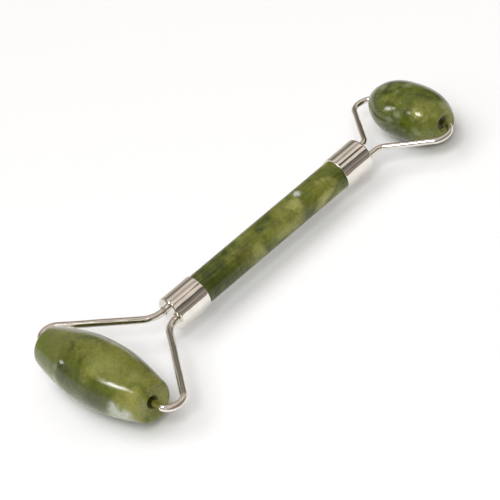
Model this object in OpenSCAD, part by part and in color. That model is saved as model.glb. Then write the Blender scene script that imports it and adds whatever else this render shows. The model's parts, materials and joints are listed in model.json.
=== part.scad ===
// Double-ended stone face roller, lying on both of its rollers.
//
// The origin is on the surface that the rollers rest on, under the middle of the roller.
// +Y runs along the handle towards the small roller, +X runs along both roller axes,
// and +Z is up. The two rollers differ in diameter, so the handle slopes slightly.

/* [Handle] */
// Diameter of the stone grip
handle_d = 9.5; // [9:0.1:10.2]
// Length of stone that shows between the two ferrules
handle_len = 56; // [40:0.5:90]
// Diameter of the turned-down tenon that each ferrule covers
tenon_d = 8.2; // [7:0.1:8.4]
// Length of each tenon
tenon_len = 6.5; // [5:0.1:7.5]

/* [Ferrules] */
// Outer diameter of both metal cups
ferrule_d = 10.6; // [10.6:0.1:12]
// Length of both metal cups
ferrule_len = 10.8; // [10.4:0.2:16]
// Thickness of the cup's side wall
ferrule_wall = 1; // [0.8:0.05:1]
// Thickness of the cup's closed end
ferrule_end = 2.4; // [1.5:0.1:2.5]
// Radius of the rounded edge around the closed end
ferrule_edge_r = 0.8; // [0.4:0.1:1.2]
// Radius of the rounded edge at the cup's mouth
ferrule_lip_r = 0.2; // [0.1:0.05:0.3]

/* [Large roller] */
// Length of the large stone roller
large_len = 46.8; // [42:0.2:50]
// Diameter at its middle
large_d = 19.6; // [18:0.1:22]
// Length of the straight band around its middle
large_band_len = 4; // [2:0.5:6]
// Length of its belly, which is that band and a curve on each side, with straight flanks beyond
large_belly_len = 23.4; // [16:0.2:26]
// Radius of the belly's lengthwise curves
large_belly_r = 46; // [42:1:60]
// Radius of the edge around each flat end
large_edge_r = 1.6; // [0.8:0.1:2]
// Diameter of the hole drilled through the stone
large_bore_d = 3.8; // [3.6:0.1:4.2]

/* [Small roller] */
// Length of the small stone roller
small_len = 28.4; // [27:0.2:28.8]
// Diameter at its middle
small_d = 17.4; // [17:0.1:18]
// Length of the straight band around its middle
small_band_len = 3; // [2:0.5:4]
// Length of its belly, which is that band and a curve on each side
small_belly_len = 12; // [10:0.5:13]
// Radius of the belly's lengthwise curves
small_belly_r = 24; // [22:1:28]
// Radius of the shoulders that curve on from the belly to the ends
small_shoulder_r = 16.4; // [16:0.2:17.6]
// Radius of the edge around each flat end
small_edge_r = 1.8; // [0.8:0.1:2]
// Diameter of the hole drilled through the stone
small_bore_d = 3.6; // [3.4:0.1:4]

/* [Large fork] */
// Diameter of the large fork's wire
large_wire_d = 2.2; // [2:0.1:2.4]
// Distance between the two wires where they leave the ferrule
large_exit_gap = 6.2; // [5.8:0.1:6.2]
// Distance from the ferrule's end to the roller's axis
large_reach = 26.8; // [24:0.2:32]
// Distance across the fork between its two outer corners, before they are bent round
large_corner_gap = 79; // [78:0.2:84]
// Radius of the bend where a wire leaves the ferrule
large_root_bend_r = 6.2; // [4:0.1:6.4]
// Radius of the bend that turns a wire in towards the roller
large_corner_bend_r = 3.6; // [3:0.1:3.8]

/* [Small fork] */
// Diameter of the small fork's wire
small_wire_d = 1.8; // [1.6:0.1:2]
// Distance between the two wires where they leave the ferrule
small_exit_gap = 6; // [5.6:0.1:6.4]
// Distance from the ferrule's end to the roller's axis
small_reach = 21.4; // [20:0.2:24]
// Distance across the fork between its two outer corners, before they are bent round
small_corner_gap = 56.4; // [56:0.2:60]
// Radius of the bend where a wire leaves the ferrule
small_root_bend_r = 3.4; // [2.5:0.1:4]
// Radius of the bend that turns a wire in towards the roller
small_corner_bend_r = 4.1; // [3:0.1:4.1]

/* [Bearings] */
// Length of each plastic bush
bush_len = 7; // [5:0.5:8]
// Depth of each bush below the roller's end
bush_recess = 1.4; // [1:0.1:2]
// Thickness of each bush's closed inner end
bush_floor = 1; // [0.8:0.1:1.5]
// Gap all round between a wire and its bush
running_gap = 0.05; // [0.02:0.01:0.08]
// Gap between a wire's tip and the bush's floor
end_play = 0.2; // [0.1:0.05:0.4]

/* [Hidden] */
$fn = 96;

LEFT = -1;
RIGHT = 1;
JADE = "darkolivegreen";
STEEL = "silver";
NYLON = "ivory";
EPOXY = "khaki";

hole_gap = 0.05;                 // room around a wire in the ferrule's end
bend_slim = 0.02;                // how much thinner a wire is at its bends and its tip
bend_overlap = 0.2;              // length by which a bend or tip runs on inside a straight
bore_chamfer = 0.35;             // broken edge of the drilled stone
tip_chamfer = 0.3;               // broken edge of a wire's tip
arc_sag = 0.004;                 // furthest that an outline lies inside its true arc
past = 1;                        // how far a cutter runs past the face it cuts
ferrule_bore_d = ferrule_d - 2 * ferrule_wall;
glue_len = ferrule_len - ferrule_end - tenon_len;
root_depth = ferrule_end + glue_len * 0.8;
large_stub = 3.7;                // straight run from the ferrule to the first bend's corner
small_stub = 4.5;

axle_spacing = large_reach + small_reach + 2 * ferrule_len + handle_len;
slope = asin((large_d - small_d) / 2 / axle_spacing);
overall_len = axle_spacing * cos(slope) + large_d / 2 + small_d / 2;

// Places along the handle, measured from the large roller's axis
large_ferrule_y = large_reach;
stone_y = large_ferrule_y + ferrule_len;
small_ferrule_y = stone_y + handle_len + ferrule_len;

// Frames -----------------------------------------------------------------

// Children lie along +Y from the large roller's axis, in the sloping plane of the handle.
module along_handle() {
    translate([0, large_d / 2 - overall_len / 2, large_d / 2])
        rotate([-slope, 0, 0])
            children();
}

// Children are drawn with +Y from the large ferrule's end towards the large roller.
module at_large_fork() {
    along_handle()
        translate([0, large_ferrule_y, 0])
            rotate([0, 0, 180])
                children();
}

// Children are drawn with +Y from the small ferrule's end towards the small roller.
module at_small_fork() {
    along_handle()
        translate([0, small_ferrule_y, 0])
            children();
}

// Children are drawn around the small roller's axis.
module at_small_roller() {
    along_handle()
        translate([0, axle_spacing, 0])
            children();
}

// Outlines ---------------------------------------------------------------

// Points on an arc, close enough together to keep within arc_sag of it
function arc(centre, r, from, to) =
    let (
        steps = ceil((to - from) / (2 * acos(1 - arc_sag / r))),
        step = (to - from) / steps
    )
    [for (i = [0:steps]) centre + r * [cos(from + i * step), sin(from + i * step)]];

// All but the first point
function tail(points) = [for (i = [1:len(points) - 1]) points[i]];

function last(points) = points[len(points) - 1];

// The outline above the middle and its mirror image below, as one closed shape
module both_sides(upper) {
    lower = [for (i = [len(upper) - 1:-1:0]) [upper[i][0], -upper[i][1]]];
    polygon(concat(upper, lower));
}

// Wires ------------------------------------------------------------------

function unit(v) = v / norm(v);

function direction(v) = atan2(v[1], v[0]);

// How far the path a-b-c turns at b, in degrees, anticlockwise positive
function turn_at(a, b, c) =
    let (t = direction(c - b) - direction(b - a))
    t > 180 ? t - 360 : t < -180 ? t + 360 : t;

// Where a bend of radius r at b touches the straight that runs from b towards end
function bend_edge(a, b, c, r, end) = b + unit(end - b) * r * tan(abs(turn_at(a, b, c)) / 2);

// A straight round wire in the XY plane
module straight_wire(from, to, wire_d) {
    translate([from[0], from[1], 0])
        rotate([0, 0, direction(to - from)])
            rotate([0, 90, 0])
                cylinder(d = wire_d, h = norm(to - from));
}

// The bend of radius r that joins straights a-b and b-c, run on a little into both of them
module bent_wire(a, b, c, r, wire_d) {
    turn = turn_at(a, b, c);
    start = bend_edge(a, b, c, r, a);
    to_centre = sign(turn) * [-unit(b - a)[1], unit(b - a)[0]];
    centre = start + r * to_centre;
    run_on = bend_overlap / r * 180 / PI;
    first_angle = direction(-to_centre) + min(turn, 0) - run_on;
    translate([centre[0], centre[1], 0])
        rotate([0, 0, first_angle])
            rotate_extrude(angle = abs(turn) + 2 * run_on)
                translate([r, 0])
                    circle(d = wire_d - bend_slim);
}

// The chamfered tip that the roller turns on, run on a little into the straight behind it
module wire_tip(from, inward, wire_d) {
    r = (wire_d - bend_slim) / 2;
    translate([from[0], from[1], 0])
        rotate([0, 90 * inward, 0])
            rotate_extrude()
                polygon([
                    [0, -bend_overlap], [r, -bend_overlap], [r, 0],
                    [r - tip_chamfer, tip_chamfer], [0, tip_chamfer]
                ]);
}

// One side of a fork: root in the ferrule, bend, leg, corner bend, axle end in the roller
module fork_wire(side, wire_d, exit_gap, stub, reach, corner_gap, root_bend_r, corner_bend_r, roller_len) {
    root = [side * exit_gap / 2, -root_depth];
    knee = [side * exit_gap / 2, stub];
    corner = [side * corner_gap / 2, reach];
    tip_x = roller_len / 2 - bush_recess - bush_len + bush_floor + end_play;
    tip = [side * (tip_x + tip_chamfer), reach];
    straight_wire(root, bend_edge(root, knee, corner, root_bend_r, root), wire_d);
    bent_wire(root, knee, corner, root_bend_r, wire_d);
    straight_wire(
        bend_edge(root, knee, corner, root_bend_r, corner),
        bend_edge(knee, corner, tip, corner_bend_r, knee),
        wire_d
    );
    bent_wire(knee, corner, tip, corner_bend_r, wire_d);
    straight_wire(bend_edge(knee, corner, tip, corner_bend_r, tip), tip, wire_d);
    wire_tip(tip, -side, wire_d);
}

module large_wire(side) {
    fork_wire(
        side, large_wire_d, large_exit_gap, large_stub, large_reach,
        large_corner_gap, large_root_bend_r, large_corner_bend_r, large_len
    );
}

module small_wire(side) {
    fork_wire(
        side, small_wire_d, small_exit_gap, small_stub, small_reach,
        small_corner_gap, small_root_bend_r, small_corner_bend_r, small_len
    );
}

// Ferrules and glue --------------------------------------------------------

// The cup's wall and end in section, as [radius, place], with the closed end at 0
module ferrule_section() {
    r = ferrule_d / 2;
    difference() {
        union() {
            square([r - ferrule_edge_r, ferrule_edge_r]);
            translate([0, ferrule_edge_r])
                square([r, ferrule_len - ferrule_edge_r - ferrule_lip_r]);
            translate([0, ferrule_len - ferrule_lip_r])
                square([r - ferrule_lip_r, ferrule_lip_r]);
            intersection() {
                translate([r - ferrule_edge_r, ferrule_edge_r])
                    circle(r = ferrule_edge_r);
                square([r, ferrule_len]);
            }
            intersection() {
                translate([r - ferrule_lip_r, ferrule_len - ferrule_lip_r])
                    circle(r = ferrule_lip_r);
                square([r, ferrule_len]);
            }
        }
        translate([0, ferrule_end])
            square([ferrule_bore_d / 2, ferrule_len]);
    }
}

// The cup with its mouth towards -Y, and two holes for the wires in its end
module ferrule(wire_d, exit_gap) {
    difference() {
        rotate([90, 0, 0])
            rotate_extrude()
                ferrule_section();
        for (side = [LEFT, RIGHT])
            translate([side * exit_gap / 2, past, 0])
                rotate([90, 0, 0])
                    cylinder(d = wire_d + 2 * hole_gap, h = ferrule_end + 2 * past);
    }
}

// The set glue between the cup's end and the stone, cast around the wires' roots
module glue_plug(wire_d, exit_gap) {
    difference() {
        translate([0, -ferrule_end, 0])
            rotate([90, 0, 0])
                cylinder(d = ferrule_bore_d, h = glue_len);
        for (side = [LEFT, RIGHT])
            translate([side * exit_gap / 2, past, 0])
                rotate([90, 0, 0])
                    cylinder(d = wire_d, h = root_depth + past);
    }
}

// Rollers ------------------------------------------------------------------

// The large roller's edge in section: band, belly arcs, straight flanks, rounded edges, flat ends
module large_roller_section() {
    belly_centre = [large_d / 2 - large_belly_r, large_band_len / 2];
    flank_angle = asin((large_belly_len / 2 - belly_centre[1]) / large_belly_r);
    belly = arc(belly_centre, large_belly_r, 0, flank_angle);
    flank_start = last(belly);
    end_y = large_len / 2;
    flank_end_x = flank_start[0] - (end_y - flank_start[1]) * tan(flank_angle);
    edge_centre = [
        flank_end_x - large_edge_r * (1 - sin(flank_angle)) / cos(flank_angle),
        end_y - large_edge_r
    ];
    edge = arc(edge_centre, large_edge_r, flank_angle, 90);
    both_sides(concat(belly, edge, [[0, end_y]]));
}

// The small roller's edge in section: band, belly arcs, shoulder arcs, rounded edges, flat ends
module small_roller_section() {
    belly_centre = [small_d / 2 - small_belly_r, small_band_len / 2];
    belly_angle = asin((small_belly_len / 2 - belly_centre[1]) / small_belly_r);
    belly = arc(belly_centre, small_belly_r, 0, belly_angle);
    shoulder_centre = belly_centre
        + (small_belly_r - small_shoulder_r) * [cos(belly_angle), sin(belly_angle)];
    end_y = small_len / 2;
    edge_run = small_shoulder_r - small_edge_r;
    edge_rise = end_y - small_edge_r - shoulder_centre[1];
    edge_centre = shoulder_centre + [sqrt(pow(edge_run, 2) - pow(edge_rise, 2)), edge_rise];
    edge_angle = direction(edge_centre - shoulder_centre);
    shoulder = arc(shoulder_centre, small_shoulder_r, belly_angle, edge_angle);
    edge = arc(edge_centre, small_edge_r, edge_angle, 90);
    both_sides(concat(belly, tail(shoulder), tail(edge), [[0, end_y]]));
}

// A roller about X from its section, with its hole drilled right through
module drilled_roller(len, bore_d) {
    difference() {
        rotate([0, 90, 0])
            rotate_extrude()
                children();
        rotate([0, 90, 0])
            cylinder(d = bore_d, h = len + 2 * past, center = true);
        for (side = [LEFT, RIGHT])
            translate([side * (len / 2 - bore_chamfer), 0, 0])
                rotate([0, 90 * side, 0])
                    cylinder(d1 = bore_d, d2 = bore_d + 4 * bore_chamfer, h = 2 * bore_chamfer);
    }
}

// A plastic cup pressed into a roller's hole, open towards the fork wire
module bush(side, roller_len, bore_d, wire_d) {
    translate([side * (roller_len / 2 - bush_recess), 0, 0])
        rotate([0, -90 * side, 0])
            difference() {
                cylinder(d = bore_d, h = bush_len);
                translate([0, 0, -past])
                    cylinder(d = wire_d + 2 * running_gap, h = bush_len - bush_floor + past);
            }
}

// Sub-parts ----------------------------------------------------------------

module handle_stone() {
    color(JADE)
        along_handle()
            translate([0, stone_y, 0])
                rotate([-90, 0, 0]) {
                    cylinder(d = handle_d, h = handle_len);
                    translate([0, 0, -tenon_len])
                        cylinder(d = tenon_d, h = handle_len + 2 * tenon_len);
                }
}

module large_ferrule() {
    color(STEEL)
        at_large_fork()
            ferrule(large_wire_d, large_exit_gap);
}

module small_ferrule() {
    color(STEEL)
        at_small_fork()
            ferrule(small_wire_d, small_exit_gap);
}

module large_end_glue() {
    color(EPOXY)
        at_large_fork()
            glue_plug(large_wire_d, large_exit_gap);
}

module small_end_glue() {
    color(EPOXY)
        at_small_fork()
            glue_plug(small_wire_d, small_exit_gap);
}

// The large fork is drawn turned half round, so its left wire is on the drawing's right.
module large_fork_left_wire() {
    color(STEEL)
        at_large_fork()
            large_wire(RIGHT);
}

module large_fork_right_wire() {
    color(STEEL)
        at_large_fork()
            large_wire(LEFT);
}

module small_fork_left_wire() {
    color(STEEL)
        at_small_fork()
            small_wire(LEFT);
}

module small_fork_right_wire() {
    color(STEEL)
        at_small_fork()
            small_wire(RIGHT);
}

module large_roller_stone() {
    color(JADE)
        along_handle()
            drilled_roller(large_len, large_bore_d)
                large_roller_section();
}

module large_roller_left_bush() {
    color(NYLON)
        along_handle()
            bush(LEFT, large_len, large_bore_d, large_wire_d);
}

module large_roller_right_bush() {
    color(NYLON)
        along_handle()
            bush(RIGHT, large_len, large_bore_d, large_wire_d);
}

module small_roller_stone() {
    color(JADE)
        at_small_roller()
            drilled_roller(small_len, small_bore_d)
                small_roller_section();
}

module small_roller_left_bush() {
    color(NYLON)
        at_small_roller()
            bush(LEFT, small_len, small_bore_d, small_wire_d);
}

module small_roller_right_bush() {
    color(NYLON)
        at_small_roller()
            bush(RIGHT, small_len, small_bore_d, small_wire_d);
}

handle_stone();
large_ferrule();
small_ferrule();
large_end_glue();
small_end_glue();
large_fork_left_wire();
large_fork_right_wire();
small_fork_left_wire();
small_fork_right_wire();
large_roller_stone();
large_roller_left_bush();
large_roller_right_bush();
small_roller_stone();
small_roller_left_bush();
small_roller_right_bush();
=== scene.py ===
import json
import math

import bmesh
import bpy
from mathutils import Matrix, Vector, noise


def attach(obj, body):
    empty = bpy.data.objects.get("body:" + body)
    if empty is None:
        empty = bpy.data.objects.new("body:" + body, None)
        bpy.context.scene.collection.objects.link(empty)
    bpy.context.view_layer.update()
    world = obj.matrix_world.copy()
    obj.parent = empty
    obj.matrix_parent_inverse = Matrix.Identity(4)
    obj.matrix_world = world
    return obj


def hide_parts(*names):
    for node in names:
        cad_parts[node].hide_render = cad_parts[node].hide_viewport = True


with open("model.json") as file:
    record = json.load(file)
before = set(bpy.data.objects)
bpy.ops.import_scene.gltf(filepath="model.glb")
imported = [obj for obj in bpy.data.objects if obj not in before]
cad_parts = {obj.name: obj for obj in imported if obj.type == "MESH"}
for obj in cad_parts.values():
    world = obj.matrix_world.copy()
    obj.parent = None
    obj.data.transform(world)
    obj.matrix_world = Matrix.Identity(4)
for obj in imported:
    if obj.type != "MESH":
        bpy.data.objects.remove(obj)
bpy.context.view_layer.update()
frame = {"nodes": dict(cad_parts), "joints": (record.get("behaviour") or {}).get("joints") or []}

# A double-ended jade face roller in polished stone and plated metal, on a white studio floor.

MM = 0.001

# The sizes that the CAD model is driven by, in millimetres
HANDLE_D = 9.5
HANDLE_LEN = 56
TENON_D = 8.2
TENON_LEN = 6.5
FERRULE_D = 10.6
FERRULE_LEN = 10.8
FERRULE_BORE_D = 8.6
FERRULE_END = 2.4
FERRULE_EDGE_R = 0.8
FERRULE_LIP_R = 0.2
LARGE = {
    "wire_d": 2.2,
    "exit_gap": 6.2,
    "stub": 3.7,
    "reach": 26.8,
    "corner_gap": 79,
    "root_bend_r": 6.2,
    "corner_bend_r": 3.6,
    "roller_len": 46.8,
    "roller_d": 19.6,
    "bore_d": 3.8,
    "band": 4,
    "belly_end": 11.7,
    "belly_r": 46,
    "edge_r": 1.6,
}
SMALL = {
    "wire_d": 1.8,
    "exit_gap": 6,
    "stub": 4.5,
    "reach": 21.4,
    "corner_gap": 56.4,
    "root_bend_r": 3.4,
    "corner_bend_r": 4.1,
    "roller_len": 28.4,
    "roller_d": 17.4,
    "bore_d": 3.6,
    "band": 3,
    "belly_end": 6,
    "belly_r": 24,
    "shoulder_r": 16.4,
    "edge_r": 1.8,
}
# How far a wire's end stays inside the roller's flat end, and how deep its root sits in the ferrule
TIP_INSET = 7.2
ROOT_DEPTH = 3.92

# What the visual model adds to the CAD model, in millimetres as well.
# How far the mouths of the rollers' holes are worn back, and how far around them the stone is true
LARGE_MOUTH = 0.12
SMALL_MOUTH = 0.9
MOUTH_RIM = 0.5
# Where the large roller's belly goes over into its bowed flanks, from its middle
FLANK_START = 9.5
# How far the middle of both rollers stands proud of the rest, and how far along the axle that fades
BAND_CROWN = 0.05
BAND_REACH = 2.0
# How deep hand polishing has cut, and how many of its waves there are to a millimetre
ROLLER_POLISH = 0.05
GRIP_POLISH = 0.03
POLISH_WAVES = 0.14
# The chamfers of the grip's ends and of the ferrules' open ends
GRIP_CHAMFER = 0.12
BORE_CHAMFER = 0.15
# The ferrules' holes: how much wider than the wire, how far countersunk, and how far past the metal the
# drill goes
HOLE_CLEARANCE = 0.16
HOLE_SINK = 0.08
HOLE_PAST = 1
# The ferrules' unevenness: (depth, waves around, waves to a millimetre along, how unlike the two ferrules
# are), and how far in from the outside it reaches
FERRULE_WAVES = ((0.05, 2.2, 0.12, 90), (0.022, 6.5, 0.45, 140))
FERRULE_SKIN = 0.3
# What keeps the wires' outer bends inside the CAD model's box
CORNER_INSET = 0.03
# A wire's slight waviness: where it starts, how much shorter it is than the sloped run, how far it goes up
# and sideways, and its waves to a millimetre
SWAY_FROM = 7.0
SWAY_CUT = 2
SWAY_UP = 0.12
SWAY_ASIDE = 0.10
SWAY_WAVES = 0.09
# The rounding of a wire's end, as a share of its radius, and the steps that it is made in
END_ROUNDING = 0.35
END_STEPS = 5

# The fineness of the meshes: sides to a full turn, and steps along in millimetres
ROLLER_SIDES = 160
GRIP_SIDES = 128
FERRULE_SIDES = 160
HOLE_SIDES = 40
WIRE_SIDES = 32
ROLLER_STEP = 0.45
BORE_STEP = 0.9
GRIP_STEP = 0.8
FERRULE_STEP = 0.7
WIRE_STEP = 1.0
# Degrees between the points of a wire's bend, and the angle past which an edge is sharp
BEND_STEP = 3.0
SHARP_ANGLE = math.radians(32)

# The frame of the handle: x across it, y along it towards the small roller, z up from it
JOINTS = {joint["name"]: joint for joint in frame["joints"]}
LARGE_AXLE = Vector(JOINTS["large_roller_spin"]["pos_m"])
SMALL_AXLE = Vector(JOINTS["small_roller_spin"]["pos_m"])
ACROSS = Vector((1, 0, 0))
ALONG = (SMALL_AXLE - LARGE_AXLE).normalized()
ABOVE = ACROSS.cross(ALONG)
# Where the ferrules' closed ends are, in millimetres along the handle from the large roller's axle
LARGE_END = LARGE["reach"]
SMALL_END = LARGE["reach"] + 2 * FERRULE_LEN + HANDLE_LEN


def place(x, y, z=0.0):
    """A point in the shared frame, from millimetres across, along and above the large roller's axle."""
    return LARGE_AXLE + (ACROSS * x + ALONG * y + ABOVE * z) * MM


def from_large_end(x, y, z):
    """The same, with y outwards from the large ferrule's closed end."""
    return place(x, LARGE_END - y, z)


def from_small_end(x, y, z):
    """The same, with y outwards from the small ferrule's closed end."""
    return place(x, SMALL_END + y, z)


# Meshes -----------------------------------------------------------------------


def new_object(name, verts, faces, material):
    """A smooth object with sharp edges, its doubled verts merged and its faces turned outwards."""
    mesh = bpy.data.meshes.new(name)
    mesh.from_pydata(verts, [], faces)
    work = bmesh.new()
    work.from_mesh(mesh)
    bmesh.ops.remove_doubles(work, verts=work.verts, dist=1e-7)
    bmesh.ops.recalc_face_normals(work, faces=work.faces)
    work.to_mesh(mesh)
    work.free()
    mesh.polygons.foreach_set("use_smooth", [True] * len(mesh.polygons))
    mesh.set_sharp_from_angle(angle=SHARP_ANGLE)
    mesh.materials.append(material)
    obj = bpy.data.objects.new(name, mesh)
    bpy.context.scene.collection.objects.link(obj)
    return obj


def arc(centre, radius, start, end, step):
    """Points on an arc, from angle start to angle end in degrees, at most step degrees apart."""
    count = max(2, math.ceil(abs(end - start) / step))
    angles = [math.radians(start + (end - start) * i / count) for i in range(count + 1)]
    return [(centre[0] + radius * math.cos(a), centre[1] + radius * math.sin(a)) for a in angles]


def densify(points, step):
    """The same outline with no two neighbours further apart than step."""
    dense = [points[0]]
    for a, b in zip(points, points[1:]):
        count = max(1, math.ceil(math.dist(a, b) / step))
        dense += [tuple(p + (q - p) * i / count for p, q in zip(a, b)) for i in range(1, count + 1)]
    return dense


def skin(rings, sides, closed=False):
    """Faces between neighbouring rings of vertex numbers. A ring of a single vertex is a tip."""
    pairs = list(zip(rings, rings[1:]))
    if closed:
        pairs.append((rings[-1], rings[0]))
    faces = []
    for lower, upper in pairs:
        for i in range(sides):
            j = (i + 1) % sides
            if len(lower) == 1:
                faces.append((lower[0], upper[j], upper[i]))
            elif len(upper) == 1:
                faces.append((lower[i], lower[j], upper[0]))
            else:
                faces.append((lower[i], lower[j], upper[j], upper[i]))
    return faces


def lathe(profile, at, axis, start, sides, closed=False, wobble=None):
    """Verts and faces turned about an axis. The profile holds (place along it, radius) in millimetres."""
    side = axis.cross(start)
    verts, rings = [], []
    for along, radius in profile:
        if radius < 1e-6:
            rings.append([len(verts)])
            verts.append(at + axis * along * MM)
            continue
        rings.append(list(range(len(verts), len(verts) + sides)))
        for i in range(sides):
            a = 2 * math.pi * i / sides
            r = radius + (wobble(along, radius, a) if wobble else 0)
            verts.append(at + (axis * along + (start * math.cos(a) + side * math.sin(a)) * r) * MM)
    return verts, skin(rings, sides, closed)


def filleted(points, radii):
    """A path of straights and bends in a plane, from its corner points and the bend at each inner one."""
    path = [Vector(points[0])]
    for before, corner, after, radius in zip(points, points[1:], points[2:], radii):
        corner = Vector(corner)
        back = (Vector(before) - corner).normalized()
        ahead = (Vector(after) - corner).normalized()
        opening = back.angle(ahead)
        run = radius / math.tan(opening / 2)
        middle = (back + ahead).normalized()
        centre = corner + middle * radius / math.sin(opening / 2)
        first = corner + back * run - centre
        last = corner + ahead * run - centre
        turn = first.angle_signed(last)
        count = max(2, math.ceil(abs(math.degrees(turn)) / BEND_STEP))
        for i in range(count + 1):
            spun = first.copy()
            spun.rotate(Matrix.Rotation(-turn * i / count, 2))
            path.append(centre + spun)
    path.append(Vector(points[-1]))
    return path


def rounded_end(sign, point, heading, length, wire_r):
    """A wire's end as stations of (point, heading, radius, length), from the full radius to the tip."""
    rounding = wire_r * END_ROUNDING
    stations = []
    for k in range(1, END_STEPS + 1):
        a = math.radians(90 * k / END_STEPS)
        shrink = rounding * (1 - math.cos(a))
        at = point + heading * sign * rounding * (math.sin(a) - 1)
        stations.append((at, heading, wire_r - shrink, length))
    return stations + [(point, heading, 0, length)]


def swept(path, wire_r, put, sway):
    """Verts and faces of a round wire along a path in a plane, in millimetres, with rounded ends.

    put turns a point of that plane and a height above it into a point in the shared frame.
    """
    dense = [Vector(p) for p in densify([tuple(p) for p in path], WIRE_STEP)]
    lengths = [0.0]
    for a, b in zip(dense, dense[1:]):
        lengths.append(lengths[-1] + (b - a).length)
    headings = [(b - a).normalized() for a, b in zip(dense[:1] + dense[:-1], dense[1:] + dense[-1:])]
    root = rounded_end(-1, dense[0], headings[0], 0, wire_r)
    tip = rounded_end(1, dense[-1], headings[-1], lengths[-1], wire_r)
    rounding = wire_r * END_ROUNDING
    between = [
        (point, heading, wire_r, length)
        for point, heading, length in zip(dense, headings, lengths)
        if lengths[-1] - rounding > length > rounding
    ]
    verts, rings = [], []
    for point, heading, r, length in root[::-1] + between + tip:
        side = Vector((heading.y, -heading.x))
        lift, drift = sway(length)
        count = WIRE_SIDES if r else 1
        rings.append(list(range(len(verts), len(verts) + count)))
        for i in range(count):
            a = 2 * math.pi * i / count
            p = point + side * (r * math.cos(a) + drift)
            verts.append(put(p.x, p.y, r * math.sin(a) + lift))
    return verts, skin(rings, WIRE_SIDES)


def cut(obj, cutters):
    """Takes the cutters out of obj and removes them."""
    for cutter in cutters:
        modifier = obj.modifiers.new("cut", "BOOLEAN")
        modifier.operation = "DIFFERENCE"
        modifier.solver = "EXACT"
        modifier.object = cutter
    bpy.context.view_layer.update()
    graph = bpy.context.evaluated_depsgraph_get()
    mesh = bpy.data.meshes.new_from_object(obj.evaluated_get(graph))
    obj.modifiers.clear()
    obj.data = mesh
    for cutter in cutters:
        bpy.data.objects.remove(cutter)


# Materials --------------------------------------------------------------------


def node(tree, kind, inputs=(), **settings):
    """A shader node. Its inputs are values, or sockets to link from."""
    made = tree.nodes.new(kind)
    for key, value in settings.items():
        setattr(made, key, value)
    for key, value in dict(inputs).items():
        if isinstance(value, bpy.types.NodeSocket):
            tree.links.new(value, made.inputs[key])
        else:
            made.inputs[key].default_value = value
    return made


def own_place(tree):
    """The place of a point in the piece's own frame, in metres."""
    return node(tree, "ShaderNodeTexCoord").outputs["Object"]


def maths(tree, operation, *values):
    return node(tree, "ShaderNodeMath", enumerate(values), operation=operation).outputs[0]


def vector_maths(tree, operation, first, second):
    """SCALE takes a number as second. DISTANCE and DOT_PRODUCT give a number."""
    inputs = {0: first, "Scale" if operation == "SCALE" else 1: second}
    made = node(tree, "ShaderNodeVectorMath", inputs, operation=operation)
    return made.outputs["Value" if operation in ("DISTANCE", "DOT_PRODUCT") else "Vector"]


def noise_of(tree, vector, scale, detail=3.0, rough=0.5, distortion=0.0, output="Fac"):
    """Noise with scale waves to a metre of a piece."""
    made = node(tree, "ShaderNodeTexNoise", {"Vector": vector, "Scale": scale, "Detail": detail})
    made.inputs["Roughness"].default_value = rough
    made.inputs["Distortion"].default_value = distortion
    return made.outputs[output]


def ramp(tree, value, low, high):
    """value mapped smoothly from low..high to 0..1, and clamped. low may be the larger of the two."""
    inputs = {"Value": value, "From Min": low, "From Max": high}
    return node(tree, "ShaderNodeMapRange", inputs, interpolation_type="SMOOTHSTEP").outputs["Result"]


def mix(tree, factor, first, second):
    """Colours mixed by factor. Either colour may be a tuple or a socket."""
    made = tree.nodes.new("ShaderNodeMix")
    made.data_type = "RGBA"
    for socket, value in ((made.inputs[0], factor), (made.inputs[6], first), (made.inputs[7], second)):
        if isinstance(value, bpy.types.NodeSocket):
            tree.links.new(value, socket)
        else:
            socket.default_value = value if isinstance(value, float) else (*value, 1)
    return made.outputs[2]


def bumped(tree, height, strength, distance):
    """A normal from a bump of height. distance is in metres."""
    inputs = {"Strength": strength, "Distance": distance, "Height": height}
    return node(tree, "ShaderNodeBump", inputs).outputs["Normal"]


def shader(name):
    material = bpy.data.materials.new(name)
    material.use_nodes = True
    tree = material.node_tree
    return material, tree, tree.nodes["Principled BSDF"]


def dress(tree, surface, colour, roughness, normal):
    """Links what varies over a surface to its shader."""
    tree.links.new(colour, surface.inputs["Base Color"])
    tree.links.new(roughness, surface.inputs["Roughness"])
    tree.links.new(normal, surface.inputs["Normal"])


# The greens and the pale colours of the stone. Some patches below also use them for painted shade, painted
# sheen and painted glow
DARK = (0.036, 0.050, 0.005)
MIDDLE = (0.108, 0.126, 0.015)
LIGHT = (0.200, 0.212, 0.042)
YELLOW = (0.128, 0.138, 0.003)
LIME = (0.088, 0.120, 0.003)
HONEY = (0.270, 0.258, 0.062)
RUST = (0.108, 0.086, 0.014)
SLATE = (0.056, 0.067, 0.018)
PALE = (0.270, 0.300, 0.150)
GOLD_AND_PAINTED_GLOW = (0.330, 0.325, 0.095)
WHITE = (0.515, 0.550, 0.485)
SPECK = (0.022, 0.028, 0.014)
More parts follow.
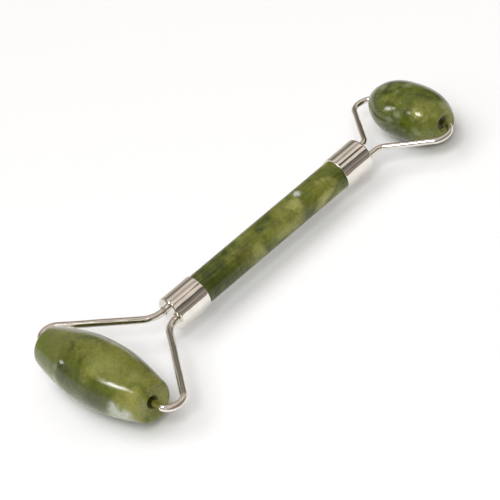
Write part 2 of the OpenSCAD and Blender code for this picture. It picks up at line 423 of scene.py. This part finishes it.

# Marbling, with some painted shade, painted sheen and painted glow, that is put in place: (centre in the
# shared frame at rest in mm, radius in mm, colour, strength)
LARGE_PATCHES = (
    ((-18.6, -66.6, 16.2), 6.5, LIME, 0.9),
    ((-21.8, -67.2, 13.2), 4.0, YELLOW, 0.5),
    ((-13.8, -62.5, 18.0), 5.0, MIDDLE, 0.7),
    # This light patch on top and the light ones high towards the handle further down are partly the stone's
    # light cloud and partly painted sheen on the top
    ((-2.0, -62.5, 19.5), 5.0, LIGHT, 0.8),
    ((-6.1, -68.0, 17.6), 3.5, DARK, 0.4),
    # The dark patches low on the side towards -Y, here and low on the flat end further down, are partly the
    # stone's dark olive band and partly painted shade on the side that faces down
    ((-2.5, -71.0, 14.0), 4.0, DARK, 0.5),
    ((5.3, -71.0, 14.0), 4.5, DARK, 0.6),
    ((1.5, -69.5, 16.3), 4.0, DARK, 0.5),
    ((9.5, -71.0, 12.5), 4.0, DARK, 0.6),
    ((12.4, -70.6, 12.4), 3.5, SLATE, 0.6),
    ((0.0, -71.5, 9.0), 5.0, DARK, 0.6),
    ((6.5, -71.8, 8.5), 4.5, DARK, 0.5),
    # These light patches high on the roller are partly its light cloud and partly painted sheen
    ((6.6, -61.8, 19.3), 6.0, LIGHT, 0.7),
    ((9.1, -60.0, 18.7), 4.5, LIGHT, 0.7),
    ((14.5, -66.0, 17.3), 5.0, MIDDLE, 0.6),
    ((15.5, -58.8, 16.5), 4.0, LIGHT, 0.5),
    ((20.5, -59.6, 15.5), 3.5, LIGHT, 0.5),
    ((21.0, -66.0, 14.8), 4.0, HONEY, 0.5),
    ((22.5, -67.5, 11.0), 3.5, HONEY, 0.6),
    ((23.4, -57.5, 12.3), 4.0, HONEY, 0.6),
    # This dark patch low on the flat end is partly painted shade
    ((23.4, -62.5, 7.3), 3.5, DARK, 0.5),
    ((-9.5, -70.8, 13.4), 2.6, MIDDLE, 0.8),
    ((-8.6, -69.8, 15.4), 1.1, PALE, 0.7),
    ((-10.6, -69.0, 16.1), 0.9, PALE, 0.6),
    ((-8.9, -71.5, 10.6), 2.0, PALE, 0.9),
    ((-6.5, -72.0, 8.2), 1.7, PALE, 0.7),
    ((-3.6, -71.7, 6.9), 1.5, PALE, 0.6),
    ((15.6, -70.2, 10.8), 2.2, WHITE, 0.9),
    ((20.4, -69.2, 10.2), 1.7, WHITE, 0.8),
    ((17.6, -69.8, 7.8), 2.8, WHITE, 0.9),
    ((14.4, -70.2, 7.0), 2.2, WHITE, 0.9),
)
SMALL_PATCHES = (
    ((-8.4, 59.2, 15.0), 4.0, DARK, 0.7),
    ((-1.4, 57.7, 15.3), 2.5, DARK, 0.6),
    ((-6.8, 56.4, 12.2), 4.0, DARK, 0.6),
    ((-2.5, 55.0, 9.0), 4.0, SLATE, 0.6),
    ((3.5, 55.2, 6.8), 4.0, DARK, 0.6),
    ((6.4, 55.9, 11.9), 3.0, LIME, 0.7),
    ((12.8, 58.5, 7.6), 4.0, MIDDLE, 0.7),
    ((13.5, 62.4, 12.7), 3.0, MIDDLE, 0.7),
    ((2.5, 66.2, 16.8), 3.0, MIDDLE, 0.7),
    ((10.4, 60.9, 14.9), 3.0, LIGHT, 0.6),
    ((8.8, 58.0, 14.0), 2.2, GOLD_AND_PAINTED_GLOW, 0.6),
    ((-3.3, 63.7, 17.3), 2.2, LIGHT, 0.6),
    ((3.6, 56.3, 13.6), 1.5, PALE, 0.7),
    ((0.9, 55.2, 11.6), 1.4, PALE, 0.5),
    ((-7.9, 62.7, 16.5), 1.6, PALE, 0.5),
    ((0.3, 66.3, 16.9), 1.6, PALE, 0.6),
    ((-0.5, 62.5, 17.3), 1.2, PALE, 0.6),
    ((13.0, 65.7, 13.2), 1.8, PALE, 0.6),
    ((14.0, 65.0, 11.4), 1.2, PALE, 0.5),
    ((9.6, 56.3, 9.1), 1.3, PALE, 0.6),
    ((4.3, 55.6, 8.3), 1.2, PALE, 0.5),
    ((-9.1, 56.4, 10.9), 1.8, PALE, 0.4),
    ((10.0, 60.7, 15.1), 0.8, SPECK, 0.8),
)
HANDLE_PATCHES = (
    # The first two dark patches, beside the large ferrule's lip, are partly the stone's dark colour and
    # partly painted shade next to the ferrule
    ((3.1, -23.4, 13.1), 7.0, DARK, 0.85),
    ((0.5, -22.5, 14.0), 4.0, DARK, 0.7),
    ((4.4, -16.0, 11.0), 4.0, DARK, 0.5),
    ((4.0, -10.6, 11.9), 2.5, RUST, 0.6),
    ((3.4, -8.0, 12.4), 4.5, DARK, 0.5),
    ((4.6, -14.5, 9.2), 4.0, DARK, 0.5),
    ((-0.3, -18.0, 14.0), 3.0, MIDDLE, 0.5),
    ((0.0, 0.3, 14.0), 2.0, MIDDLE, 0.6),
    # The next four bright gold patches along the grip's lower side are painted glow: light coming through
    # the stone at that edge
    ((4.7, 12.6, 9.4), 2.2, GOLD_AND_PAINTED_GLOW, 0.5),
    ((4.7, 8.7, 8.8), 2.6, GOLD_AND_PAINTED_GLOW, 0.7),
    ((4.7, 4.8, 9.2), 2.4, GOLD_AND_PAINTED_GLOW, 0.7),
    ((4.7, -3.9, 9.6), 2.8, GOLD_AND_PAINTED_GLOW, 0.6),
    ((4.2, -7.1, 11.6), 2.0, RUST, 0.5),
    ((0.3, -3.5, 14.0), 1.2, PALE, 0.4),
    ((4.3, 2.5, 11.3), 2.5, LIGHT, 0.6),
    ((3.5, 9.3, 12.4), 4.5, LIGHT, 0.8),
    ((2.7, 13.0, 13.0), 2.5, GOLD_AND_PAINTED_GLOW, 0.8),
    ((4.7, 16.3, 9.0), 2.2, SLATE, 0.9),
    ((3.4, 23.0, 12.4), 3.2, LIGHT, 0.6),
    ((1.8, 22.1, 13.5), 1.2, GOLD_AND_PAINTED_GLOW, 0.4),
    ((2.1, 24.4, 13.3), 1.1, GOLD_AND_PAINTED_GLOW, 0.5),
    ((2.8, 26.3, 12.8), 1.1, GOLD_AND_PAINTED_GLOW, 0.6),
    ((4.0, 27.2, 11.6), 1.2, GOLD_AND_PAINTED_GLOW, 0.8),
    ((4.4, 26.0, 10.8), 1.1, GOLD_AND_PAINTED_GLOW, 0.8),
    ((4.7, 25.0, 9.8), 1.2, GOLD_AND_PAINTED_GLOW, 0.8),
    ((4.7, 23.3, 8.9), 1.3, GOLD_AND_PAINTED_GLOW, 0.8),
    ((4.7, 21.7, 8.2), 1.5, GOLD_AND_PAINTED_GLOW, 0.8),
    ((4.7, 20.2, 7.6), 1.8, GOLD_AND_PAINTED_GLOW, 0.7),
    ((3.4, 22.0, 12.4), 0.9, GOLD_AND_PAINTED_GLOW, 0.7),
    ((3.6, 30.5, 12.0), 4.0, DARK, 0.6),
    ((0.6, 4.4, 13.9), 1.2, SPECK, 0.8),
    ((0.6, 16.4, 13.8), 1.2, WHITE, 0.9),
)
# Where a patch starts to show and where it is full, in its own radii
PATCH_RIM = 1.45
PATCH_CORE = 0.15
# How far the noise pulls the clouds and the patches out of shape, in metres
SWIRL = 0.011
DRIFT = 0.006
# How the stone takes the light, some of which goes in and comes out again nearby
JADE_LIGHT = {
    "IOR": 1.55,
    "Specular IOR Level": 0.34,
    "Subsurface Weight": 0.35,
    "Subsurface Radius": (1.0, 1.1, 0.4),
    "Subsurface Scale": 0.0016,
}
JADE_POLISH = 0.085


def jade_clouds(tree, warped, big, hue, level):
    """Clouds of dark, middle and light green, which change over at level, and yellower ones."""
    fine = noise_of(tree, warped, 420.0, 5.0, 0.62)
    cloud = maths(tree, "ADD", maths(tree, "MULTIPLY", big, 0.74), maths(tree, "MULTIPLY", fine, 0.26))
    colour = mix(tree, ramp(tree, cloud, level - 0.11, level + 0.01), DARK, MIDDLE)
    colour = mix(tree, ramp(tree, cloud, level + 0.01, level + 0.13), colour, LIGHT)
    return mix(tree, maths(tree, "MULTIPLY", ramp(tree, hue, 0.52, 0.70), 0.45), colour, YELLOW)


def jade_patches(tree, where, drifted, patches, colour):
    """Soft patches with ragged edges, each laid over the ones before it."""
    broad = noise_of(tree, where, 240.0, 4.0, 0.6)
    crumbly = noise_of(tree, where, 800.0, 4.0, 0.65)
    ragged = maths(tree, "MULTIPLY_ADD", broad, 2.0, maths(tree, "MULTIPLY_ADD", crumbly, 1.1, -1.55))
    for centre, radius, tint, strength in patches:
        away = vector_maths(tree, "DISTANCE", drifted, tuple(c * MM for c in centre))
        reach = maths(tree, "MULTIPLY_ADD", ragged, radius * MM, away)
        inside = ramp(tree, reach, radius * MM * PATCH_RIM, radius * MM * PATCH_CORE)
        colour = mix(tree, maths(tree, "MULTIPLY", inside, strength), colour, tint)
    return colour


def jade_veins(tree, warped, big, colour):
    """Thin pale veins through the lighter clouds."""
    wisp = noise_of(tree, warped, 210.0, 6.0, 0.7, 0.6)
    thin = maths(tree, "ABSOLUTE", maths(tree, "SUBTRACT", wisp, 0.5))
    vein = maths(tree, "MULTIPLY", ramp(tree, thin, 0.016, 0.0), ramp(tree, big, 0.47, 0.60))
    return mix(tree, maths(tree, "MULTIPLY", vein, 0.30), colour, PALE)


def jade_specks(tree, warped, big, colour):
    """Small dark specks in the darker clouds."""
    cells = node(tree, "ShaderNodeTexVoronoi", {"Vector": warped, "Scale": 900.0, "Randomness": 1.0})
    dots = ramp(tree, cells.outputs["Distance"], 0.22, 0.08)
    specks = maths(tree, "MULTIPLY", dots, ramp(tree, big, 0.50, 0.40))
    return mix(tree, maths(tree, "MULTIPLY", specks, 0.75), colour, SPECK)


def jade(name, shift, level, patches, granular):
    """Polished jade: clouds of green, patches put in place, pale veins and flecks, and dark specks.

    shift moves the noise, level is where it turns from dark to light, and granular is the flecks' strength.
    """
    material, tree, surface = shader(name)
    where = own_place(tree)
    moved = vector_maths(tree, "ADD", where, shift)
    bend = vector_maths(tree, "SUBTRACT", noise_of(tree, moved, 70.0, output="Color"), (0.5, 0.5, 0.5))
    warped = vector_maths(tree, "ADD", moved, vector_maths(tree, "SCALE", bend, SWIRL))
    drifted = vector_maths(tree, "ADD", where, vector_maths(tree, "SCALE", bend, DRIFT))
    big = noise_of(tree, warped, 85.0, 4.0, 0.55)
    hue = noise_of(tree, warped, 130.0, 2.0)
    crumbs = noise_of(tree, moved, 900.0, 4.0, 0.7)
    flecks = maths(tree, "MULTIPLY", ramp(tree, crumbs, 0.58, 0.72), ramp(tree, hue, 0.55, 0.40))

    colour = jade_clouds(tree, warped, big, hue, level)
    colour = jade_patches(tree, where, drifted, patches, colour)
    colour = jade_veins(tree, warped, big, colour)
    colour = mix(tree, maths(tree, "MULTIPLY", flecks, granular), colour, PALE)
    colour = jade_specks(tree, warped, big, colour)
    grain = noise_of(tree, moved, 1300.0, 4.0, 0.7)
    mottled = vector_maths(tree, "SCALE", colour, maths(tree, "MULTIPLY_ADD", grain, 0.9, 0.55))

    scuff = noise_of(tree, moved, 1500.0, 4.0, 0.6)
    haze = maths(tree, "ADD", maths(tree, "MULTIPLY", scuff, 0.07), maths(tree, "MULTIPLY", flecks, 0.10))
    roughness = maths(tree, "ADD", haze, JADE_POLISH)
    dimples = noise_of(tree, moved, 380.0, 2.0)
    dress(tree, surface, mottled, roughness, bumped(tree, dimples, 0.05, 0.0004))
    for socket, value in JADE_LIGHT.items():
        surface.inputs[socket].default_value = value
    return material


def plated(name, base, grain_axis, grain_depth):
    """Bright plating with faint polishing lines along grain_axis and a little haze from handling."""
    material, tree, surface = shader(name)
    where = own_place(tree)
    stretch = [1.0, 1.0, 1.0]
    stretch[grain_axis] = 0.03
    lines = noise_of(tree, vector_maths(tree, "MULTIPLY", where, stretch), 1100.0)
    haze = noise_of(tree, where, 300.0, 4.0, 0.6)
    tint = mix(tree, ramp(tree, haze, 0.35, 0.75), base, tuple(c * 0.90 for c in base))
    rough = maths(tree, "MULTIPLY", ramp(tree, haze, 0.45, 0.75), 0.035)
    roughness = maths(tree, "ADD", maths(tree, "ADD", rough, 0.004), maths(tree, "MULTIPLY", lines, 0.015))
    dress(tree, surface, tint, roughness, bumped(tree, lines, grain_depth, 0.0001))
    surface.inputs["Metallic"].default_value = 1.0
    return material


def nylon(name):
    """Dark moulded nylon with a faint grain."""
    material, tree, surface = shader(name)
    grain = noise_of(tree, own_place(tree), 1800.0)
    colour = mix(tree, grain, (0.050, 0.042, 0.020), (0.095, 0.080, 0.040))
    dress(tree, surface, colour, ramp(tree, grain, -0.6, 1.6), bumped(tree, grain, 0.2, 0.0001))
    return material


def epoxy(name):
    """Cured amber glue with a few bubbles."""
    material, tree, surface = shader(name)
    where = own_place(tree)
    body = noise_of(tree, where, 500.0)
    bubbles = node(tree, "ShaderNodeTexVoronoi", {"Vector": where, "Scale": 1500.0}).outputs["Distance"]
    colour = mix(tree, body, (0.42, 0.33, 0.14), (0.60, 0.52, 0.30))
    dress(tree, surface, colour, ramp(tree, bubbles, -0.2, 2.0), bumped(tree, bubbles, 0.3, 0.0002))
    return material


# Pieces -----------------------------------------------------------------------


def finish_piece(obj, body, cad_node):
    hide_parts(cad_node)
    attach(obj, body)


def hand_polish(seed, depth):
    """The slight unevenness that hand polishing leaves, always inwards from the true outline."""
    offset = Vector((seed * 3.7, seed * 1.3, seed * 2.1))

    def wobble(along, radius, angle):
        p = Vector((along, math.cos(angle) * radius, math.sin(angle) * radius)) * POLISH_WAVES
        return -depth * (0.5 + 0.5 * noise.noise(p + offset))

    return wobble


def belly(fork):
    """The centre of a belly's arc, as (place along the axle, radius), and the slope at its belly_end."""
    centre = (fork["band"] / 2, fork["roller_d"] / 2 - fork["belly_r"])
    return centre, math.asin((fork["belly_end"] - centre[0]) / fork["belly_r"])


def large_outline():
    """Half of the large roller's outline, from its middle over belly and bowed flank to its flat end."""
    half = LARGE["roller_len"] / 2
    belly_r = LARGE["belly_r"]
    edge_r = LARGE["edge_r"]
    centre, slope = belly(LARGE)
    flank_end_r = centre[1] + belly_r * math.cos(slope) - (half - LARGE["belly_end"]) * math.tan(slope)
    edge = (half - edge_r, flank_end_r - edge_r * (1 - math.sin(slope)) / math.cos(slope))
    start_slope = math.asin((FLANK_START - centre[0]) / belly_r)
    start = (FLANK_START, centre[1] + belly_r * math.cos(start_slope))
    # The rim's place and the bow's slope there depend on each other, and settle in a few rounds
    rim_slope = start_slope
    for _ in range(6):
        rim = (edge[0] + edge_r * math.sin(rim_slope), edge[1] + edge_r * math.cos(rim_slope))
        rim_slope = 2 * math.atan2(start[1] - rim[1], rim[0] - start[0]) - start_slope
    bow_r = (rim[0] - start[0]) / (math.sin(rim_slope) - math.sin(start_slope))
    bow = (start[0] - bow_r * math.sin(start_slope), start[1] - bow_r * math.cos(start_slope))
    flank_turn = 90 - math.degrees(start_slope)
    edge_turn = 90 - math.degrees(rim_slope)
    outline = [(0, LARGE["roller_d"] / 2)] + arc(centre, belly_r, 90, flank_turn, 0.5)
    outline += arc(bow, bow_r, flank_turn, edge_turn, 0.3)[1:]
    return outline + arc(edge, edge_r, edge_turn, 0, 6)


def small_outline():
    """Half of the small roller's outline, from its middle over belly and shoulder to its flat end."""
    half = SMALL["roller_len"] / 2
    belly_r = SMALL["belly_r"]
    shoulder_r = SMALL["shoulder_r"]
    edge_r = SMALL["edge_r"]
    centre, slope = belly(SMALL)
    gap = belly_r - shoulder_r
    shoulder = (centre[0] + gap * math.sin(slope), centre[1] + gap * math.cos(slope))
    reach = shoulder_r - edge_r
    run = half - edge_r - shoulder[0]
    edge = (shoulder[0] + run, shoulder[1] + math.sqrt(reach * reach - run * run))
    shoulder_turn = 90 - math.degrees(slope)
    edge_turn = math.degrees(math.atan2(edge[1] - shoulder[1], run))
    outline = [(0, SMALL["roller_d"] / 2)] + arc(centre, belly_r, 90, shoulder_turn, 0.5)
    outline += arc(shoulder, shoulder_r, shoulder_turn, edge_turn, 1.5)[1:]
    return outline + arc(edge, edge_r, edge_turn, 0, 6)


def roller(body, half_outline, fork, mouth, axle, material, seed):
    """A turned, drilled and polished stone roller, which is named after its body."""
    bore_r = fork["bore_d"] / 2
    half = fork["roller_len"] / 2
    mouth_r = bore_r + mouth
    outside = densify(half_outline + [(half, mouth_r)], ROLLER_STEP)
    inside = densify([(half, mouth_r), (half - mouth, bore_r), (0, bore_r)], BORE_STEP)
    right = outside + inside[1:]
    left = [(-along, radius) for along, radius in right[::-1]]
    uneven = hand_polish(seed, ROLLER_POLISH)

    def wobble(along, radius, angle):
        if radius < mouth_r + MOUTH_RIM:
            return 0
        return uneven(along, radius, angle) - BAND_CROWN * (1 - math.exp(-((along / BAND_REACH) ** 2)))

    verts, faces = lathe(left[:-1] + right[:-1], axle, ACROSS, ALONG, ROLLER_SIDES, True, wobble)
    obj = new_object(f"{body}_polished", verts, faces, material)
    finish_piece(obj, body, f"{body}_stone")


def handle_stone(material):
    """The turned stone grip, with a tenon at each end."""
    end = HANDLE_LEN / 2
    r = HANDLE_D / 2
    tenon = [(-end - TENON_LEN, 0), (-end - TENON_LEN, TENON_D / 2), (-end, TENON_D / 2)]
    left = tenon + [(-end, r - GRIP_CHAMFER), (-end + GRIP_CHAMFER, r)]
    right = [(-along, radius) for along, radius in left[::-1]]
    middle = place(0, LARGE_END + FERRULE_LEN + HANDLE_LEN / 2)
    uneven = hand_polish(4.0, GRIP_POLISH)
    verts, faces = lathe(densify(left + right, GRIP_STEP), middle, ALONG, ACROSS, GRIP_SIDES, wobble=uneven)
    obj = new_object("handle_stone_polished", verts, faces, material)
    finish_piece(obj, "handle", "handle_stone")


def ferrule(cad_node, fork, end_at, outward, material):
    """A turned cup with its closed end at end_at, facing outward, and two countersunk wire holes."""
    r = FERRULE_D / 2
    bore_r = FERRULE_BORE_D / 2
    edge = arc((-FERRULE_EDGE_R, r - FERRULE_EDGE_R), FERRULE_EDGE_R, 0, 90, 7.5)
    lip = arc((-FERRULE_LEN + FERRULE_LIP_R, r - FERRULE_LIP_R), FERRULE_LIP_R, 90, 180, 22.5)
    mouth = [(-FERRULE_LEN, bore_r + BORE_CHAMFER), (-FERRULE_LEN + BORE_CHAMFER, bore_r)]
    bottom = [(-FERRULE_END, bore_r), (-FERRULE_END, 0)]
    profile = densify([(0, 0)] + edge + lip + mouth + bottom, FERRULE_STEP)

    def wobble(along, radius, angle):
        if radius < r - FERRULE_SKIN:
            return 0
        depth = 0
        for deepest, around, lengthways, unlike in FERRULE_WAVES:
            level = along * lengthways + end_at.y * unlike
            at = Vector((math.cos(angle) * around, math.sin(angle) * around, level))
            depth += deepest * (0.5 + 0.5 * noise.noise(at))
        return -depth

    verts, faces = lathe(profile, end_at, outward, ACROSS, FERRULE_SIDES, wobble=wobble)
    obj = new_object(f"{cad_node}_plated", verts, faces, material)
    hole_r = fork["wire_d"] / 2 + HOLE_CLEARANCE
    sunk_r = hole_r + HOLE_SINK
    drill = [(HOLE_PAST, 0), (HOLE_PAST, sunk_r + HOLE_PAST), (0, sunk_r), (-HOLE_SINK, hole_r)]
    drill += [(-FERRULE_END - HOLE_PAST, hole_r), (-FERRULE_END - HOLE_PAST, 0)]
    cutters = []
    for side in (-1, 1):
        hole_at = end_at + ACROSS * side * fork["exit_gap"] / 2 * MM
        verts, faces = lathe(drill, hole_at, outward, ACROSS, HOLE_SIDES)
        cutters.append(new_object(f"{cad_node}_hole", verts, faces, material))
    cut(obj, cutters)
    obj.data.set_sharp_from_angle(angle=SHARP_ANGLE)
    finish_piece(obj, "handle", cad_node)


def fork_wire(name, fork, side, put, material, seed):
    """One bent wire of a fork, as points (x, y) with y outwards from the ferrule's closed end."""
    tip_x = fork["roller_len"] / 2 - TIP_INSET
    points = [
        (side * fork["exit_gap"] / 2, -ROOT_DEPTH),
        (side * fork["exit_gap"] / 2, fork["stub"]),
        (side * (fork["corner_gap"] / 2 - CORNER_INSET), fork["reach"]),
        (side * tip_x, fork["reach"]),
    ]
    path = filleted(points, (fork["root_bend_r"], fork["corner_bend_r"]))
    wavy = math.dist(points[1], points[2]) - SWAY_CUT

    def sway(length):
        free = math.sin(math.pi * min(max((length - SWAY_FROM) / wavy, 0), 1)) ** 2
        p = Vector((length * SWAY_WAVES, seed * 5.3, 0.0))
        return SWAY_UP * free * noise.noise(p), SWAY_ASIDE * free * noise.noise(p + Vector((0, 0, 7.7)))

    verts, faces = swept(path, fork["wire_d"] / 2, put, sway)
    obj = new_object(f"{name}_bent_wire", verts, faces, material)
    finish_piece(obj, "handle", f"{name}_wire")


large_jade = jade("large_roller_jade", (0.0, 0.0, 0.0), 0.49, LARGE_PATCHES, 0.30)
small_jade = jade("small_roller_jade", (0.31, 0.12, 0.05), 0.52, SMALL_PATCHES, 0.70)
handle_jade = jade("handle_jade", (0.13, 0.0, 0.41), 0.51, HANDLE_PATCHES, 0.30)
ferrule_metal = plated("ferrule_plating", (0.86, 0.84, 0.78), 1, 0.35)
wire_metal = plated("wire_plating", (0.84, 0.81, 0.75), 0, 0.05)

roller("large_roller", large_outline(), LARGE, LARGE_MOUTH, LARGE_AXLE, large_jade, 1.0)
roller("small_roller", small_outline(), SMALL, SMALL_MOUTH, SMALL_AXLE, small_jade, 2.0)
handle_stone(handle_jade)
ferrule("large_ferrule", LARGE, place(0, LARGE_END), -ALONG, ferrule_metal)
ferrule("small_ferrule", SMALL, place(0, SMALL_END), ALONG, ferrule_metal)
FORK_WIRES = (
    ("large_fork_left", LARGE, -1, from_large_end),
    ("large_fork_right", LARGE, 1, from_large_end),
    ("small_fork_left", SMALL, -1, from_small_end),
    ("small_fork_right", SMALL, 1, from_small_end),
)
for seed, (name, fork, side, put) in enumerate(FORK_WIRES):
    fork_wire(name, fork, side, put, wire_metal, seed)

# The bushes and the glue keep their CAD meshes
hidden_materials = {"bush": nylon("bush_nylon"), "glue": epoxy("set_epoxy")}
for name, obj in frame["nodes"].items():
    kind = name.split("_")[-1]
    if kind in hidden_materials:
        obj.data.materials.clear()
        obj.data.materials.append(hidden_materials[kind])


# Studio -----------------------------------------------------------------------


# The tent's radiance by the angle about the Y axis, from the -X horizon over the top to the +X one
TENT = (
    (-90, 0.52), (-76, 0.52), (-64, 0.46), (-58, 0.26), (-53, 0.14), (-48, 0.20), (-42, 0.50), (-36, 0.50),
    (-30, 0.80), (-25, 0.74), (-18, 0.42), (-12, 0.42), (-5, 0.66), (1, 0.84), (8, 0.92), (13, 0.70),
    (15, 0.10), (19, 0.08), (22, 0.60), (27, 0.84), (36, 0.84), (42, 0.72), (44, 0.30), (46, 0.08),
    (52, 0.13), (60, 0.20), (68, 0.22), (74, 0.40), (79, 0.36), (83, 0.18), (90, 0.26),
)
TENT_TINT = (1.0, 0.89, 0.80)
# The way to the tent's dark opening, and how close to it a direction is where its edge starts and ends
TENT_DOOR = (-0.50, 0.80, 0.33)
DOOR_EDGE = (0.84, 0.97)
# The reflected card's place along x, half its length along y, and its top and bottom, in millimetres
FLAG_X = 46
FLAG_HALF = 140
FLAG_TOP = 12
FLAG_BOTTOM = 1
# The soft lamps, in metres and watts: (name, azimuth, elevation, size, power)
SOFT_LAMPS = (("key", -122, 66, 1.35, 10.0), ("fill", 124, 48, 0.90, 14.8))
LAMP_TINT = (0.90, 0.945, 1.0)
LAMP_DISTANCE = 1.6
# The highlight lamps: (name, axle, spot from the axle in mm, azimuth, elevation, width, height, power)
HIGHLIGHTS = (
    ("large_left", LARGE_AXLE, (-6, -6, 7), -119, 15.5, 0.022, 0.034, 0.00045),
    ("large_right", LARGE_AXLE, (15, -4.5, 7), -146, 46, 0.020, 0.13, 0.0052),
    ("small_left", SMALL_AXLE, (-1, -5, 5.5), -130, 22.7, 0.022, 0.13, 0.0026),
    ("small_middle", SMALL_AXLE, (7, -4, 6), -158, 42, 0.050, 0.05, 0.0010),
    ("small_right", SMALL_AXLE, (10, -3.3, 5.5), 170, 49.7, 0.085, 0.07, 0.0090),
)
HIGHLIGHT_DISTANCE = 0.3
HIGHLIGHT_SPREAD = math.radians(30)
# The camera's place and what it looks at in metres, its roll in degrees and its lens in millimetres
CAMERA_AT = (0.46124, -0.25720, 0.38912)
CAMERA_TOWARDS = (0, -0.00444, 0.00859)
CAMERA_ROLL = -22.81
CAMERA_LENS = 164.8


def studio_floor():
    """A matt white floor, far wider than the camera sees."""
    material, tree, surface = shader("floor_white")
    grain = noise_of(tree, own_place(tree), 700.0, 2.0)
    tree.links.new(mix(tree, grain, (0.90, 0.90, 0.90), (0.92, 0.92, 0.92)), surface.inputs["Base Color"])
    surface.inputs["Roughness"].default_value = 0.9
    surface.inputs["Specular IOR Level"].default_value = 0.1
    half = 4.0
    verts = [(-half, -half, 0), (half, -half, 0), (half, half, 0), (-half, half, 0)]
    floor = new_object("studio_floor", verts, [(0, 1, 2, 3)], material)


def area_lamp(name, aim, azimuth, elevation, distance, width, height, power):
    """An area light aimed at a point. Azimuth is from +Y towards +X, in degrees; the sizes are in metres."""
    a, e = math.radians(azimuth), math.radians(elevation)
    way = Vector((math.sin(a) * math.cos(e), math.cos(a) * math.cos(e), math.sin(e)))
    light = bpy.data.lights.new(name, "AREA")
    light.shape = "ELLIPSE"
    light.size = width
    light.size_y = height
    light.energy = power
    obj = bpy.data.objects.new(name, light)
    obj.location = aim + way * distance
    obj.rotation_mode = "QUATERNION"
    obj.rotation_quaternion = (-way).to_track_quat("-Z", "Y")
    bpy.context.scene.collection.objects.link(obj)
    return obj


def soft_lamp(name, azimuth, elevation, size, power):
    """A big lamp that lights the floor and the object but leaves no highlight of its own."""
    obj = area_lamp(name, Vector((0, 0, 0)), azimuth, elevation, LAMP_DISTANCE, size, size, power)
    obj.data.color = LAMP_TINT
    obj.visible_glossy = False


def highlight(name, axle, spot, azimuth, elevation, width, height, power):
    """A small gridded lamp that is seen only as a highlight on the spot that it is aimed at."""
    aim = axle + Vector(spot) * MM
    obj = area_lamp(name, aim, azimuth, elevation, HIGHLIGHT_DISTANCE, width, height, power)
    obj.data.spread = HIGHLIGHT_SPREAD
    obj.visible_diffuse = False
    obj.visible_camera = False


def studio_world():
    """A warm white tent of long panels with darker gaps, and plain white for the camera."""
    world = bpy.data.worlds.new("studio_world")
    bpy.context.scene.world = world
    world.use_nodes = True
    tree = world.node_tree
    direction = node(tree, "ShaderNodeTexCoord").outputs["Generated"]
    split = node(tree, "ShaderNodeSeparateXYZ", {0: direction})
    turn = maths(tree, "ARCTAN2", split.outputs["X"], split.outputs["Z"])
    share = maths(tree, "MULTIPLY_ADD", turn, 1 / math.pi, 0.5)
    crease = noise_of(tree, direction, 3.5)
    creased = maths(tree, "MULTIPLY_ADD", maths(tree, "SUBTRACT", crease, 0.5), 0.035, share)
    panels = node(tree, "ShaderNodeValToRGB", {0: creased})
    stops = panels.color_ramp.elements
    while len(stops) < len(TENT):
        stops.new(0.5)
    for stop, (degrees, level) in zip(stops, TENT):
        stop.position = (degrees + 90) / 180
        stop.color = (*(c * level for c in TENT_TINT), 1)
    door = ramp(tree, vector_maths(tree, "DOT_PRODUCT", direction, TENT_DOOR), *DOOR_EDGE)
    walls = mix(tree, maths(tree, "MULTIPLY", door, 0.75), panels.outputs["Color"], (0.16, 0.14, 0.12))
    seen = node(tree, "ShaderNodeLightPath").outputs["Is Camera Ray"]
    shown = mix(tree, seen, walls, (1.0, 1.0, 1.0))
    tree.links.new(shown, tree.nodes["Background"].inputs["Color"])
    tree.nodes["Background"].inputs["Strength"].default_value = 1.0


def reflection_flag():
    """A low brown card that only reflections see. It keeps an edge on the metal's white side."""
    material, tree, surface = shader("flag_brown")
    grain = noise_of(tree, own_place(tree), 60.0)
    tree.links.new(mix(tree, grain, (0.34, 0.27, 0.21), (0.46, 0.38, 0.31)), surface.inputs["Base Color"])
    surface.inputs["Roughness"].default_value = 1.0
    x, half, top, bottom = (size * MM for size in (FLAG_X, FLAG_HALF, FLAG_TOP, FLAG_BOTTOM))
    verts = [(x, -half, bottom), (x, half, bottom), (x, half, top), (x, -half, top)]
    flag = new_object("reflection_flag", verts, [(0, 1, 2, 3)], material)
    flag.visible_camera = False
    flag.visible_diffuse = False
    flag.visible_shadow = False


def camera():
    data = bpy.data.cameras.new("camera")
    data.lens = CAMERA_LENS
    data.clip_start = 0.05
    data.clip_end = 20
    obj = bpy.data.objects.new("camera", data)
    at = Vector(CAMERA_AT)
    aim = (Vector(CAMERA_TOWARDS) - at).to_track_quat("-Z", "Y").to_matrix()
    roll = Matrix.Rotation(math.radians(CAMERA_ROLL), 3, "Z")
    obj.matrix_world = Matrix.Translation(at) @ (aim @ roll).to_4x4()
    bpy.context.scene.collection.objects.link(obj)
    bpy.context.scene.camera = obj


studio_floor()
studio_world()
reflection_flag()
for lamp in SOFT_LAMPS:
    soft_lamp(*lamp)
for lamp in HIGHLIGHTS:
    highlight(*lamp)
camera()
bpy.context.scene.view_settings.view_transform = "Standard"
